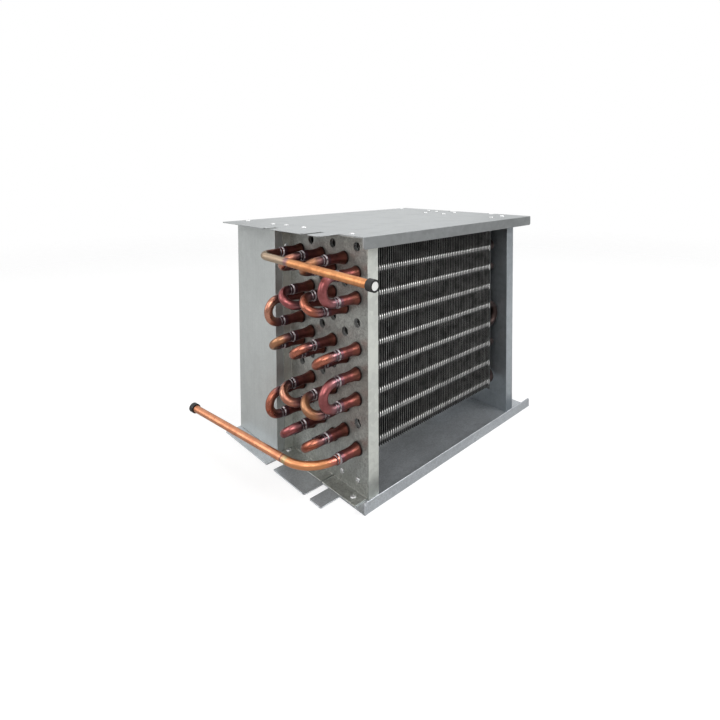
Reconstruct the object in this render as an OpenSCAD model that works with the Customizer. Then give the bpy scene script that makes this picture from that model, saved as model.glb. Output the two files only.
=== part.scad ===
// Air-cooled condenser coil in a galvanised sheet-metal housing.
// Copper tubes run along X between two tube sheets. The finned face looks along -Y,
// the brazed return bends stand out of the left tube sheet, and the back is open for a fan.
// The origin is on the underside of the base pan, at the middle of its outline.

/* [Housing] */
// Overall length of the base pan and the top cover
case_l = 330; // [300:1:420]
// Overall depth of the base pan and the top cover
case_d = 233; // [225:1:300]
// Overall height of the housing
case_h = 264; // [262:1:330]
// Thickness of every sheet-metal part
sheet_t = 1.2; // [0.8:0.1:1.6]
// Height of the lips along the base pan and the top cover
lip_h = 12; // [8:0.5:13]
// Radius on the free corners of the lips
lip_corner_r = 3; // [1:0.5:4]
// Distance from the housing's left edge to the left tube sheet
side_overhang = 40; // [38:1:60]
// Distance from the right tube sheet to the housing's right edge
right_overhang = 63; // [60:1:80]
// Distance that the cover and the base reach past the tube sheet where their front corner is cut
front_overhang = 16; // [16:0.5:20]
// Distance from the housing's front edge to the front row of tubes
front_to_tubes = 28; // [28:0.5:36]

/* [Coil] */
// Outside diameter of the copper tube
tube_od = 9.52; // [9:0.01:9.6]
// Wall of the copper tube
tube_wall = 0.8; // [0.4:0.05:1]
// Distance between tubes in one column
tube_pitch = 25.4; // [25:0.1:26]
// Distance between neighbouring columns of tubes
row_pitch = 19.05; // [18.5:0.05:20]
// Distance from the top of the housing to the highest tube
top_to_tubes = 13.5; // [13.5:0.5:20]
// Outside diameter of the socket at each tube end
socket_od = 11.1; // [10.9:0.1:11.6]
// Length of the socket outside the left tube sheet
socket_l = 25; // [18:1:30]
// Depth to which a bend sits in its socket
insertion = 8; // [5:0.5:12]
// Straight part of a bend before its curve
bend_lead = 5; // [3:0.5:10]
// Distance from the front column of tubes to the front edge of the fins
fin_front = 6; // [5.5:0.5:9]
// Distance from the rear column of tubes to the rear edge of the fins
fin_rear = 9.5; // [6:0.5:9.5]
// Distance between fins
fin_pitch = 3.2; // [2.8:0.1:6]
// Thickness of one fin
fin_t = 0.25; // [0.2:0.05:0.4]

/* [Sheet metal details] */
// Distance from the front row of tubes to the front edge of a tube sheet
sheet_front = 16; // [14:0.5:20]
// Distance from the rear row of tubes to the rear edge of a tube sheet
sheet_rear = 22.75; // [15:0.25:26]
// Width of the front flanges of the tube sheet and the end panel
front_flange = 14; // [10:0.5:15]
// Width of the rear flanges of the tube sheet and the end panel
rear_flange = 10; // [8:0.5:14]
// Width of the flanges that stand on the base pan and carry the top cover
foot_flange = 16; // [12:0.5:16]
// Gap between the curves of the hairpin tubes and the right end panel
end_gap = 1.5; // [1:0.5:8]
// Distance from a tube sheet out to the rear side panel
panel_offset = 20; // [14:0.5:26]
// Width of the returns at the rear edge of the side panels
panel_return = 15; // [10:0.5:25]

/* [Connection tubes] */
// Outside diameter of the connection tubes
line_od = 7.94; // [6.35:0.01:8]
// Gap between the return bends and the upper connection tube
upper_gap = 1; // [0.5:0.5:10]
// Length of the upper connection tube's run towards the front
upper_run = 175; // [120:1:180]
// Bend radius of the upper connection tube
upper_bend_r = 14; // [12:1:18]
// Angle at which the upper connection tube falls
upper_fall = 1.4; // [0:0.1:4]
// Bend radius of the lower connection tube
lower_bend_r = 35; // [28:1:38]
// Straight run of the lower connection tube
lower_run = 176; // [100:1:190]
// Angle at which the lower connection tube leaves the housing
lower_splay = 5.3; // [0:0.1:12]
// Angle at which the lower connection tube falls
lower_fall = 1; // [0:0.1:3]
// Outside diameter of a tube cap
cap_od = 10.6; // [10:0.1:12]
// Length of a tube cap
cap_l = 7; // [6:0.5:12]
// Diameter of the pale plug in the end of a tube cap
plug_d = 7.4; // [6:0.1:8]

/* [Fixings] */
// Diameter of a rivet's shank
rivet_d = 3.2; // [2.4:0.1:4]
// Diameter of a rivet's head
rivet_head_d = 6.4; // [5:0.1:8]
// Height of a rivet's head
rivet_head_h = 1.6; // [1:0.1:2]

/* [Hidden] */
$fn = 48;
columns = 6;
rows = 9;
fit_gap = 0.15;
slip_gap = 0.1;
through = 1;
braze_l = 1.6;
braze_w = 0.5;
slit_w = 1.6;
foot_slit = 55;
foot_inset = 3;
coil_foot = 14;
panel_foot = 12;
sheet_below = 4;
line_lap = 1.5;
cap_wall = 0.8;
plug_t = 1.2;
plug_depth = 0.3;
tube_id = tube_od - 2 * tube_wall;
line_id = line_od - 2 * tube_wall;
seat_id = tube_od + 2 * fit_gap;
hole_d = tube_od + 2 * fit_gap;

// How far the widest bend reaches past its socket or its tube sheet.
bend_reach = bend_lead + (tube_pitch + tube_od) / 2;
upper_reach = socket_l + bend_reach + upper_gap + line_od / 2;

// Places of the sheet-metal faces along X.
x_end = case_l / 2;
x_sheet = -x_end + side_overhang;
x_coil_end = x_end - right_overhang;
coil_l = x_coil_end - x_sheet;
x_panel = x_coil_end + bend_reach + end_gap;
x_front_cut = x_sheet - front_overhang;

// Places along Y. Column 0 is the front one.
y_front = -case_d / 2;
y_back = case_d / 2;
y_tube0 = y_front + front_to_tubes;
y_sheet0 = y_tube0 - sheet_front;
y_sheet1 = y_tube0 + (columns - 1) * row_pitch + sheet_rear;
y_panel0 = y_sheet1;

// Places along Z.
z_floor = sheet_t;
z_roof = case_h - sheet_t;
z_tube0 = case_h - top_to_tubes;

// Fins reach a quarter of a tube pitch past the highest and the lowest tubes.
fin_y0 = y_tube0 - fin_front;
fin_d = (columns - 1) * row_pitch + fin_front + fin_rear;
fin_z1 = z_tube0 + tube_pitch / 4;
fin_h = (rows - 0.5) * tube_pitch;
fin_x0 = x_sheet + sheet_t + fin_pitch / 2;
fin_room = coil_l - 2 * sheet_t - fin_pitch;
fin_count = floor(fin_room / fin_pitch);

// Cuts in the left and right edges of the base pan and the top cover, measured from the
// front edge: where the cut starts, where it ends.
corner_cut = [0, 37];
tab_cut = [56, 65];
rear_cut = [123, 136];
rear_cut_depth = 14;
right_cut_depth = 9;

// A tube place is [column, row]. Odd columns sit half a pitch lower.
function tube_y(p) = y_tube0 + p[0] * row_pitch;
function tube_z(p) = z_tube0 - (p[1] + (p[0] % 2) / 2) * tube_pitch;
function pair_dist(q) = norm([tube_y(q[1]) - tube_y(q[0]), tube_z(q[1]) - tube_z(q[0])]);
function pair_angle(q) = atan2(tube_z(q[1]) - tube_z(q[0]), tube_y(q[1]) - tube_y(q[0]));

// The circuit, as pairs of tube places. Return bends join them on the left, and the curves of
// the hairpin tubes on the right.
upper_place = [5, 0];
lower_place = [0, 8];
return_pairs = [
    [[3, 0], [4, 1]], [[1, 0], [2, 1]], [[0, 1], [0, 2]], [[1, 2], [2, 2]], [[3, 2], [4, 2]],
    [[5, 2], [5, 3]], [[4, 4], [5, 4]], [[2, 4], [3, 4]], [[0, 4], [1, 4]], [[0, 5], [0, 6]],
    [[1, 6], [2, 6]], [[3, 6], [4, 6]], [[5, 6], [5, 7]], [[3, 7], [4, 8]], [[1, 7], [2, 8]]
];
hairpin_pairs = [
    [[5, 0], [4, 1]], [[3, 0], [2, 1]], [[1, 0], [0, 1]], [[0, 2], [1, 2]], [[2, 2], [3, 2]],
    [[4, 2], [5, 2]], [[5, 3], [5, 4]], [[4, 4], [3, 4]], [[2, 4], [1, 4]], [[0, 4], [0, 5]],
    [[0, 6], [1, 6]], [[2, 6], [3, 6]], [[4, 6], [5, 6]], [[5, 7], [4, 8]], [[3, 7], [2, 8]],
    [[1, 7], [0, 8]]
];

// Rivets through the flanges that meet the base pan and the top cover, as [x, y]. Those of
// the right tube sheet are at the top only.
rivet_ys = [y_tube0 - 2, y_tube0 + 78, y_tube0 + 112];
panel_rivet_ys = [y_panel0 + panel_return, y_back - panel_return];
x_panel_out = x_panel + sheet_t + panel_offset;
coil_rivets = [for (y = rivet_ys) [x_coil_end + coil_foot / 2, y]];
flange_rivets = concat(
    [for (y = rivet_ys) [x_sheet - foot_flange / 2, y]],
    [for (y = rivet_ys) [x_panel + sheet_t + foot_flange / 2, y]],
    [for (y = panel_rivet_ys) [x_sheet - panel_offset + sheet_t + panel_foot / 2, y]],
    [for (y = panel_rivet_ys) [x_panel_out - sheet_t - panel_foot / 2, y]]
);
// Rivets through the rear flanges and the side panels, as [x, z].
seam_rivet_zs = [lip_h * 2, case_h / 2, case_h - lip_h * 2];
seam_rivets = concat(
    [for (z = seam_rivet_zs) [x_sheet - rear_flange / 2, z]],
    [for (z = seam_rivet_zs) [x_panel + sheet_t + rear_flange / 2, z]]
);
// Rivets low on the left tube sheet, as [y, z].
sheet_rivets = [[y_tube0, z_floor + 13.5], [y_tube0 + 25, z_floor + 12]];

// A straight tube along +X.
module tube_x(od, id, l) {
    rotate([0, 90, 0]) linear_extrude(l) ring(od, id);
}

// The cross-section of a tube.
module ring(od, id) {
    difference() {
        circle(d = od);
        circle(d = id);
    }
}

// A bend of copper tube about the Z axis, from angle a0 through a.
module bend(r, a0, a) {
    rotate([0, 0, a0]) rotate_extrude(angle = a) translate([r, 0]) ring(tube_od, tube_id);
}

// The shape of a rivet, with its shank running down from the origin.
module rivet(grip) {
    translate([0, 0, -grip]) cylinder(h = grip, d = rivet_d, $fn = 24);
    cylinder(h = rivet_head_h, d1 = rivet_head_d, d2 = rivet_head_d * 0.55, $fn = 24);
}

module rivet_hole(l) {
    translate([0, 0, -l / 2]) cylinder(h = l, d = rivet_d + 2 * slip_gap, $fn = 24);
}

// Holes for every rivet, to be cut from the sheet metal.
module rivet_holes() {
    for (p = flange_rivets) translate([p[0], p[1], 0]) rivet_hole(6 * sheet_t);
    for (p = concat(flange_rivets, coil_rivets)) translate([p[0], p[1], case_h]) rivet_hole(6 * sheet_t);
    for (p = seam_rivets) translate([p[0], y_sheet1, p[1]]) rotate([90, 0, 0]) rivet_hole(6 * sheet_t);
    for (p = sheet_rivets) translate([x_sheet, p[0], p[1]]) rotate([0, 90, 0]) rivet_hole(6 * sheet_t);
}

// Every place where a tube can pass through the coil, in the YZ plane.
module tube_places(d) {
    for (c = [0:columns - 1], r = [0:rows - 1 - c % 2])
        translate([tube_y([c, r]), tube_z([c, r])]) circle(d = d);
}

// A plate across X with a hole at every tube place.
module punched_plate(x, t, y0, d, z0, h, hole_d) {
    translate([x, 0, 0]) rotate([90, 0, 90]) linear_extrude(t) difference() {
        translate([y0, z0]) square([d, h]);
        tube_places(hole_d);
    }
}

// The outline of the base pan and the top cover.
module pan_outline() {
    left_cut = side_overhang - front_overhang;
    difference() {
        translate([-x_end, y_front]) square([case_l, case_d]);
        edge_cut(-x_end, left_cut, corner_cut);
        edge_cut(-x_end, left_cut, tab_cut);
        edge_cut(-x_end, rear_cut_depth, rear_cut);
        edge_cut(x_end, right_cut_depth, tab_cut);
        edge_cut(x_end, right_cut_depth, rear_cut);
    }
}

// A cut of some depth into the edge at x, over a span measured from the front edge.
module edge_cut(x, depth, span) {
    from = span[0] == 0 ? -through : span[0];
    translate([x - depth, y_front + from]) square([2 * depth, span[1] - from]);
}

// A lip that stands up along an edge, with round free corners.
module lip(x0, x1, y) {
    w = x1 - x0;
    translate([x0, y + sheet_t, 0]) rotate([90, 0, 0]) linear_extrude(sheet_t) {
        square([w, lip_h - lip_corner_r]);
        translate([lip_corner_r, 0]) square([w - 2 * lip_corner_r, lip_h]);
        for (x = [lip_corner_r, w - lip_corner_r])
            translate([x, lip_h - lip_corner_r]) circle(r = lip_corner_r);
    }
}

// A flat pan with a lip along its front.
module pan() {
    linear_extrude(sheet_t) pan_outline();
    lip(x_front_cut, x_end, y_front);
}

// A foot flange from x0 to x1 at each of some heights.
module feet(x0, x1, y0, y1, zs = [z_floor, z_roof - sheet_t]) {
    for (z = zs) translate([x0, y0, z]) cube([x1 - x0, y1 - y0, sheet_t]);
}

module base_pan() {
    color("silver") difference() {
        pan();
        rivet_holes();
    }
}

module top_cover() {
    color("lightgray") difference() {
        translate([0, 0, case_h]) mirror([0, 0, 1]) pan();
        rivet_holes();
    }
}

// Front flange turned in, rear and foot flanges turned out towards the return bends.
module left_tube_sheet() {
    color("darkgray") difference() {
        union() {
            punched_plate(x_sheet, sheet_t, y_sheet0, y_sheet1 - y_sheet0, z_floor,
                z_roof - z_floor, hole_d);
            translate([x_sheet, y_sheet0, z_floor]) cube([front_flange, sheet_t, z_roof - z_floor]);
            translate([x_sheet - rear_flange, y_sheet1 - sheet_t, z_floor])
                cube([rear_flange + sheet_t, sheet_t, z_roof - z_floor]);
            feet(x_sheet - foot_flange, x_sheet + sheet_t, y_sheet0 + foot_inset, y_sheet1);
        }
        translate([x_sheet - foot_flange - through, y_sheet0 + foot_slit, 0])
            cube([foot_flange + through, slit_w, case_h]);
        rivet_holes();
    }
}

// The coil's own end plate, where the hairpin tubes turn round. It hangs from the top cover
// and ends just below the fins.
module right_tube_sheet() {
    z0 = fin_z1 - fin_h - sheet_below;
    color("darkgray") difference() {
        union() {
            punched_plate(x_coil_end - sheet_t, sheet_t, fin_y0, y_sheet1 - fin_y0, z0,
                z_roof - z0, hole_d);
            feet(x_coil_end - sheet_t, x_coil_end + coil_foot, fin_y0, y_sheet1, [z_roof - sheet_t]);
        }
        rivet_holes();
    }
}

// The housing's right wall, with all its flanges turned out.
module right_end_panel() {
    color("gray") difference() {
        union() {
            translate([x_panel, y_sheet0, z_floor])
                cube([sheet_t, y_sheet1 - y_sheet0, z_roof - z_floor]);
            translate([x_panel, y_sheet0, z_floor])
                cube([sheet_t + front_flange, sheet_t, z_roof - z_floor]);
            translate([x_panel, y_sheet1 - sheet_t, z_floor])
                cube([sheet_t + rear_flange, sheet_t, z_roof - z_floor]);
            feet(x_panel, x_panel + sheet_t + foot_flange, y_sheet0 + foot_inset, y_sheet1);
        }
        rivet_holes();
    }
}

// A side wall behind the coil, with returns at its front and rear edges and a foot flange
// at its top and bottom. Its outer face is at x = 0, and everything turns towards +X.
module rear_panel() {
    y1 = y_back - sheet_t;
    h = z_roof - z_floor;
    translate([0, y_panel0, z_floor]) cube([sheet_t, y1 - y_panel0, h]);
    translate([0, y_panel0, z_floor]) cube([panel_offset, sheet_t, h]);
    translate([0, y1 - sheet_t, z_floor]) cube([panel_return, sheet_t, h]);
    feet(0, sheet_t + panel_foot, y_panel0, y1);
}

module left_rear_panel() {
    color("lightsteelblue") difference() {
        translate([x_sheet - panel_offset, 0, 0]) rear_panel();
        rivet_holes();
    }
}

module right_rear_panel() {
    color("lightsteelblue") difference() {
        translate([x_panel_out, 0, 0]) mirror([1, 0, 0]) rear_panel();
        rivet_holes();
    }
}

// Thin plates between the two tube sheets. Each is its own solid.
module fins() {
    color("gainsboro") for (i = [0:fin_count])
        punched_plate(fin_x0 + i * fin_pitch, fin_t, fin_y0, fin_d, fin_z1 - fin_h, fin_h, hole_d);
}

// Moves to a pair of tube places, with the first at the origin and the second along +Y.
module at_pair(q) {
    translate([0, tube_y(q[0]), tube_z(q[0])]) rotate([pair_angle(q), 0, 0]) children();
}

// A half turn of tube round the origin, with a leg, given as a child along +Z, on each end.
module u_tube(d) {
    bend(d / 2, 0, 180);
    for (s = [-1, 1]) translate([s * d / 2, 0, 0]) rotate([90, 0, 0]) children();
}

// Two straight tubes joined by a half turn on the right. Each free end is widened to a socket
// outside the left tube sheet.
module hairpin(q) {
    d = pair_dist(q);
    leg_l = coil_l + bend_lead;
    seat_l = leg_l + socket_l - insertion - slip_gap;
    color("peru") at_pair(q) translate([x_sheet + leg_l, d / 2, 0]) rotate([0, 0, -90]) u_tube(d) {
        linear_extrude(leg_l) ring(tube_od, tube_id);
        translate([0, 0, leg_l]) linear_extrude(seat_l - leg_l) ring(socket_od, tube_id);
        translate([0, 0, seat_l]) linear_extrude(insertion + slip_gap) ring(socket_od, seat_id);
    }
}

// A half turn on the left, with both legs seated in sockets.
module return_bend(q) {
    d = pair_dist(q);
    x_turn = x_sheet - socket_l - bend_lead;
    color("chocolate") at_pair(q) translate([x_turn, d / 2, 0]) rotate([0, 0, 90]) u_tube(d)
        linear_extrude(bend_lead + insertion) ring(tube_od, tube_id);
}

// A ring of braze metal on the mouth of every socket.
module braze_rings() {
    places = concat([for (q = return_pairs, p = q) p], [upper_place, lower_place]);
    color("lightslategray") for (p = places)
        translate([x_sheet - socket_l - braze_l, tube_y(p), tube_z(p)])
            tube_x(socket_od + 2 * braze_w, seat_id, braze_l);
}

// A connection tube whose bend turns round the origin. A straight leg goes off along +X from
// (0, -r) to a wider end that fits the socket, and the run goes off to +Y.
module line_tube(r, turn, leg_l, run_l) {
    rotate([0, 0, -90 - turn]) {
        rotate_extrude(angle = turn) translate([r, 0]) ring(line_od, line_id);
        translate([r, 0, 0]) rotate([90, 0, 0]) linear_extrude(run_l) ring(line_od, line_id);
    }
    translate([0, -r, 0]) {
        if (leg_l > 0) tube_x(line_od, line_id, leg_l + line_lap);
        translate([leg_l - line_lap, 0, 0])
            tube_x(tube_od, (line_od + line_id) / 2, line_lap + braze_l + insertion);
    }
}

// The far end of a connection tube's run, with the run along +Z.
module at_line_end(r, turn, run_l) {
    rotate([0, 0, -90 - turn]) translate([r, -run_l, 0]) rotate([90, 0, 0]) children();
}

// From its socket the upper tube runs out, turns and runs forward across the tube sheet.
upper_leg_l = upper_reach - upper_bend_r - socket_l - braze_l;
upper_run_l = upper_run - upper_bend_r;
module upper_frame() {
    translate([x_sheet, tube_y(upper_place), tube_z(upper_place)]) rotate([upper_fall, 0, 0])
        translate([upper_bend_r - upper_reach, -upper_bend_r, 0]) mirror([0, 1, 0]) children();
}

module upper_tube() {
    color("sandybrown") upper_frame() line_tube(upper_bend_r, 90, upper_leg_l, upper_run_l);
}

module upper_cap() {
    color("black") upper_frame() at_line_end(upper_bend_r, 90, upper_run_l) tube_cap();
}

module upper_plug() {
    color("white") upper_frame() at_line_end(upper_bend_r, 90, upper_run_l) cap_plug();
}

// From its socket the lower tube makes a wide turn and runs back past the housing.
lower_turn = 90 - lower_splay;
module lower_frame() {
    translate([x_sheet - socket_l - braze_l, tube_y(lower_place), tube_z(lower_place)])
        rotate([-lower_fall, 0, 0]) translate([0, lower_bend_r, 0]) children();
}

module lower_tube() {
    color("sandybrown") lower_frame() line_tube(lower_bend_r, lower_turn, 0, lower_run);
}

module lower_cap() {
    color("black") lower_frame() at_line_end(lower_bend_r, lower_turn, lower_run) tube_cap();
}

module lower_plug() {
    color("white") lower_frame() at_line_end(lower_bend_r, lower_turn, lower_run) cap_plug();
}

// A cap whose bore reaches back over a tube that ends at the origin and comes from -Z. Its
// end has a recess for a plug.
module tube_cap() {
    recess = plug_t + plug_depth;
    bore_l = cap_l - cap_wall - recess;
    translate([0, 0, slip_gap - bore_l]) difference() {
        cylinder(h = cap_l, d = cap_od);
        translate([0, 0, -through]) cylinder(h = bore_l + through, d = line_od + 2 * slip_gap);
        translate([0, 0, cap_l - recess]) cylinder(h = recess + through, d = plug_d + 2 * slip_gap);
    }
}

// A plug that sits a little below the rim of its cap.
module cap_plug() {
    translate([0, 0, slip_gap + cap_wall]) cylinder(h = plug_t, d = plug_d);
}

module rivets() {
    color("whitesmoke") {
        for (p = flange_rivets) translate([p[0], p[1], z_floor + sheet_t]) rivet(2 * sheet_t);
        for (p = concat(flange_rivets, coil_rivets)) translate([p[0], p[1], case_h]) rivet(2 * sheet_t);
        for (p = seam_rivets)
            translate([p[0], y_sheet1 - sheet_t, p[1]]) rotate([90, 0, 0]) rivet(2 * sheet_t);
        for (p = sheet_rivets) translate([x_sheet, p[0], p[1]]) rotate([0, -90, 0]) rivet(sheet_t);
    }
}

base_pan();
top_cover();
left_tube_sheet();
right_tube_sheet();
right_end_panel();
left_rear_panel();
right_rear_panel();
fins();
braze_rings();
rivets();
upper_tube();
lower_tube();
upper_cap();
lower_cap();
upper_plug();
lower_plug();
for (i = [1:len(hairpin_pairs)])
    hairpin(hairpin_pairs[i - 1]);
for (i = [1:len(return_pairs)])
    return_bend(return_pairs[i - 1]);
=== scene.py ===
"""Looks for a finned condenser coil in a folded sheet-metal housing.

The tubes run along X. Brazed return bends stand out of the left tube sheet, the finned face
looks along -Y, and the back is open. All sizes are in metres.
"""

from __future__ import annotations

import logging
import math
from dataclasses import dataclass, field
from enum import Enum
from random import Random

import bmesh
import bpy
from bmesh.types import BMesh, BMEdge
from bpy.types import Material, Mesh, Node, NodeTree, World, NodeSocket as Socket, Object as Piece
from mathutils import Matrix, Vector, noise

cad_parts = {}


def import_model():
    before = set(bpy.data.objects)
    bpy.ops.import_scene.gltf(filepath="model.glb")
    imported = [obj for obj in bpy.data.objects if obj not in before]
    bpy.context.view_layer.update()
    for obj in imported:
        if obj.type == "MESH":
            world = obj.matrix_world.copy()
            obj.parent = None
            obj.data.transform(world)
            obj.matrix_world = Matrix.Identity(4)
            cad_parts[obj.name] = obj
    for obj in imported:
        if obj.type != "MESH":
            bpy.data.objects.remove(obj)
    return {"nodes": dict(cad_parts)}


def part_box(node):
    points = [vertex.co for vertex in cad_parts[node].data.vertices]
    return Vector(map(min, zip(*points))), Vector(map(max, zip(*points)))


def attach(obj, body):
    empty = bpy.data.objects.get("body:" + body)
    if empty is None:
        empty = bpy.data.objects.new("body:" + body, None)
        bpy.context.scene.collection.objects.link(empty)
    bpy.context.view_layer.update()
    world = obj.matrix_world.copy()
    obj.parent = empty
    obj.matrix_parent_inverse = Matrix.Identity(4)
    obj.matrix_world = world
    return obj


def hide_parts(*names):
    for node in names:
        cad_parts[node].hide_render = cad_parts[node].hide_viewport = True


LOG = logging.getLogger("coil")
MM = 0.001
# Points nearer than this are one point, and points of one tube's end lie nearer than LEG_REACH.
SAME_POINT = 0.001 * MM
LEG_REACH = 12 * MM
BODY = "root"
Colour = tuple[float, float, float]
Place = tuple[float, float, float]
Nodes = dict[str, Piece]
Profile = list[tuple[float, float]]
Shape = tuple[list[Vector], list[tuple[int, ...]]]


class Side(Enum):
    """The two ends of the coil."""

    LEFT = -1
    RIGHT = 1


class Slot(Enum):
    """The record's material slot names; nothing in this script uses them."""

    ZINC = "galvanised_steel"
    FIN = "fin_aluminium"
    DARK_COPPER = "dark_copper"
    BRIGHT_COPPER = "bright_copper"
    BRAZE = "braze_metal"
    RIVET = "rivet_steel"


class Tone(Enum):
    """The coppers of the return bends."""

    ORANGE = "orange_copper"
    ROSE = "rose_copper"
    PEACH = "peach_copper"
    TAN = "tan_copper"


# Helpers


def show(thing: Piece) -> None:
    """Puts an object into the scene."""
    bpy.context.scene.collection.objects.link(thing)


def coat(mesh: Mesh, material: Material) -> None:
    """Gives a mesh one material."""
    mesh.materials.clear()
    mesh.materials.append(material)


class NodeBuilder:
    """Adds nodes to one node tree and links them by name."""

    def __init__(self, tree: NodeTree) -> None:
        """Args:
        tree: The node tree that the nodes go into.
        """
        self.tree = tree

    def add(self, kind: str, links: dict | None = None, **settings: object) -> Node:
        """Adds a node.

        Args:
            kind: Blender's type name of the node.
            links: What feeds each input: a socket, or a plain value.
            settings: Attributes to set on the node.

        Returns:
            The new node.
        """
        node = self.tree.nodes.new(kind)
        for name, value in settings.items():
            setattr(node, name, value)
        for key, value in (links or {}).items():
            socket = node.inputs[key]
            if isinstance(value, Socket):
                self.tree.links.new(value, socket)
            else:
                socket.default_value = value
        return node

    def math(self, operation: str, a: object, b: object = 0.0) -> Socket:
        """Returns the output of a Math node on two values or sockets."""
        return self.add("ShaderNodeMath", {0: a, 1: b}, operation=operation).outputs[0]

    def vector(self, operation: str, a: object, b: object) -> Socket:
        """Returns the output of a Vector Math node on two vectors."""
        return self.add("ShaderNodeVectorMath", {0: a, 1: b}, operation=operation).outputs["Vector"]

    def dot(self, a: object, b: object) -> Socket:
        """Returns the dot product of two vectors."""
        return self.add("ShaderNodeVectorMath", {0: a, 1: b}, operation="DOT_PRODUCT").outputs["Value"]

    def total(self, start: object, *terms: tuple[Socket, float]) -> Socket:
        """Returns a start value with a share of each term added."""
        for socket, share in terms:
            start = self.math("ADD", start, self.math("MULTIPLY", socket, share))
        return start

    def normal(self) -> Socket:
        """Returns the surface's direction in the shared frame."""
        return self.add("ShaderNodeNewGeometry").outputs["Normal"]

    def ramp(self, value: object, low: float, high: float,
             to_low: float = 0.0, to_high: float = 1.0) -> Socket:
        """Returns a value mapped smoothly from one range to another, and held at its ends."""
        links = {"Value": value, "From Min": low, "From Max": high, "To Min": to_low, "To Max": to_high}
        node = self.add("ShaderNodeMapRange", links, interpolation_type="SMOOTHSTEP")
        return node.outputs["Result"]

    def mix(self, factor: object, a: object, b: object) -> Socket:
        """Returns a mix of two colours."""
        node = self.add("ShaderNodeMix", data_type="RGBA")
        for socket, value in ((node.inputs[0], factor), (node.inputs[6], a), (node.inputs[7], b)):
            if isinstance(value, Socket):
                self.tree.links.new(value, socket)
            else:
                socket.default_value = (*value, 1.0) if isinstance(value, tuple) else value
        return node.outputs[2]

    def wash(self, base: object, mask: object, share: object, colour: Colour) -> Socket:
        """Returns a base colour with another one washed over it where a mask lies."""
        return self.mix(self.math("MULTIPLY", mask, share), base, colour)

    def noise(self, vector: object, scale: float, detail: float = 3.0, rough: float = 0.55) -> Socket:
        """Returns the value of a noise texture."""
        links = {"Vector": vector, "Scale": scale, "Detail": detail, "Roughness": rough}
        return self.add("ShaderNodeTexNoise", links).outputs[0]

    def place(self) -> Socket:
        """Returns the object's own coordinates."""
        return self.add("ShaderNodeTexCoord").outputs["Object"]


def cleared(owner: Material | World) -> NodeTree:
    """Clears the nodes of a material or a world, and returns its tree."""
    owner.use_nodes = True
    owner.node_tree.nodes.clear()
    return owner.node_tree


class Surface(NodeBuilder):
    """The nodes of a material round its one Principled shader."""

    def __init__(self, name: str, colour: Colour, rough: float, metal: float) -> None:
        """Args:
        name: The material's name.
        colour: Its plain colour.
        rough: Its plain roughness.
        metal: Its metal share.
        """
        self.material = bpy.data.materials.new(name)
        super().__init__(cleared(self.material))
        links = {"Base Color": (*colour, 1.0), "Roughness": rough, "Metallic": metal}
        self.shader = self.add("ShaderNodeBsdfPrincipled", links)
        self.add("ShaderNodeOutputMaterial", {"Surface": self.shader.outputs[0]})

    def group(self, tree: NodeTree, **values: float) -> object:
        """Places a shared effect with this material's own values and returns its outputs."""
        node = self.add("ShaderNodeGroup", node_tree=tree)
        for key, value in values.items():
            node.inputs[key].default_value = value
        return node.outputs

    def wire(self, colour: Socket, rough: Socket) -> None:
        """Feeds the varying colour and roughness into the shader."""
        self.tree.links.new(colour, self.shader.inputs["Base Color"])
        self.tree.links.new(rough, self.shader.inputs["Roughness"])

    def bump(self, height: Socket, depth: float, strength: float) -> None:
        """Feeds a height through a Bump node into the shader."""
        links = {"Height": height, "Distance": depth, "Strength": strength}
        self.tree.links.new(self.add("ShaderNodeBump", links).outputs[0], self.shader.inputs["Normal"])


class EffectGroup:
    """A shader node group that several finishes share."""

    def __init__(self, name: str, inputs: dict[str, float], outputs: tuple[str, ...]) -> None:
        """Args:
        name: The group's name.
        inputs: Each input's name and its default value.
        outputs: The names of its value outputs.
        """
        self.tree = bpy.data.node_groups.new(name, "ShaderNodeTree")
        for key, value in inputs.items():
            socket = self.tree.interface.new_socket(key, in_out="INPUT", socket_type="NodeSocketFloat")
            socket.default_value = value
        for key in outputs:
            self.tree.interface.new_socket(key, in_out="OUTPUT", socket_type="NodeSocketFloat")
        self.build = NodeBuilder(self.tree)
        self.given = self.build.add("NodeGroupInput").outputs
        self.out = self.build.add("NodeGroupOutput")

    def put(self, key: str, value: Socket) -> None:
        """Feeds one output of the group."""
        self.tree.links.new(value, self.out.inputs[key])


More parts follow.
